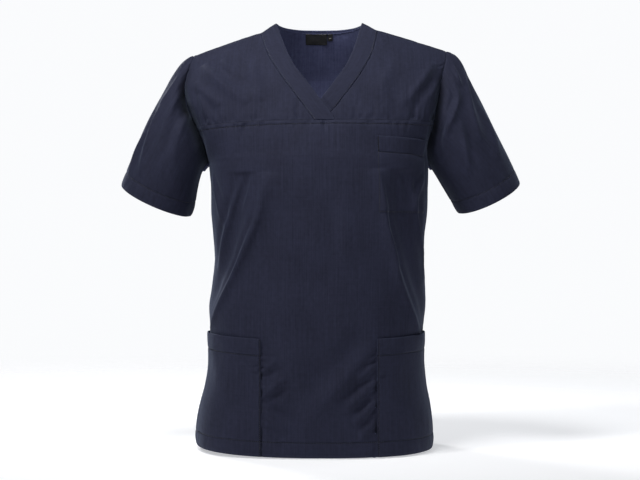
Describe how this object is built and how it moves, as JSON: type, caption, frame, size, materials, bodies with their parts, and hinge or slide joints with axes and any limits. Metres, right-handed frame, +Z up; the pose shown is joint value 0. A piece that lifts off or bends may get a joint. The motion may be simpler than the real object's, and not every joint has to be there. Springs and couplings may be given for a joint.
{
  "type": "medical scrub top",
  "caption": "Short-sleeved V-neck scrub top of plain woven cloth, filled out as worn, with a crossed neck band, a front yoke, a breast pocket and hip patch pockets.",
  "frame": {"origin": "middle of the neck opening, level with the neck ends of the shoulder seams, where the wearer's neck and shoulders hold the top", "axes": "+Z up along the wearer, the front faces -Y, +X towards the wearer's left"},
  "size_m": [0.6937, 0.283, 0.7395],
  "materials": {
    "cloth": "matt plain-woven navy cloth",
    "trim": "matt plain-woven navy cloth, doubled",
    "label": "black woven satin label, bare"
  },
  "bodies": {
    "root": {"front_panel": "cloth", "back_panel": "cloth", "front_yoke_right": "cloth", "front_yoke_left": "cloth", "sleeve_left": "cloth", "sleeve_right": "cloth", "neck_band_right": "trim", "neck_band_left": "trim", "back_neck_binding": "trim", "hip_pocket_right": "cloth", "hip_pocket_left": "cloth", "breast_pocket": "cloth", "neck_label": "label", "size_tab": "label"}
  },
  "joints": []
}
